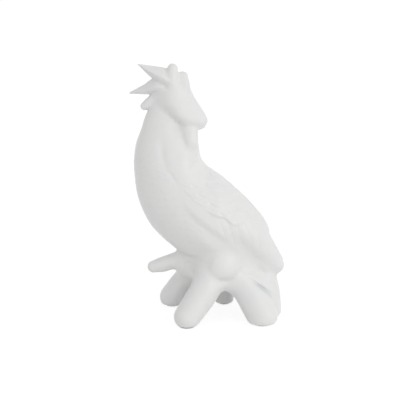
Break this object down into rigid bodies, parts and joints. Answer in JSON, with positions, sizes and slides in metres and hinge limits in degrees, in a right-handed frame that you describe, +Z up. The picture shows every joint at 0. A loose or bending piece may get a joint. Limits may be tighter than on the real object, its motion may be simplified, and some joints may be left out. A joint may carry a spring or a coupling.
{
  "type": "ceramic cockatoo figurine",
  "caption": "White glazed ceramic cockatoo with raised crest and head turned back, perched on a cluster of rounded branch stumps.",
  "frame": {"origin": "on the table under the centre of the figurine's bounding box", "axes": "+Z up; +X from the breast towards the tail; -Y the bird's left side, which the picture shows"},
  "size_m": [0.1818, 0.1127, 0.3025],
  "materials": {
    "glaze": "satin",
    "felt": "matte"
  },
  "bodies": {
    "root": {"torso": "glaze", "branch_hub": "glaze", "head": "glaze", "tail": "glaze", "stump_front_left": "glaze", "stump_front_right": "glaze", "stump_back_left": "glaze", "stump_back_middle": "glaze", "stump_front_knob": "glaze", "twig": "glaze", "crest_feather_front": "glaze", "crest_feather_second": "glaze", "crest_feather_third": "glaze", "crest_feather_fourth": "glaze", "crest_feather_nape": "glaze", "wing_left": "glaze", "wing_right": "glaze", "pad_front_left": "felt", "pad_front_right": "felt", "pad_back_left": "felt", "pad_back_middle": "felt", "pad_tail": "felt"}
  },
  "joints": []
}
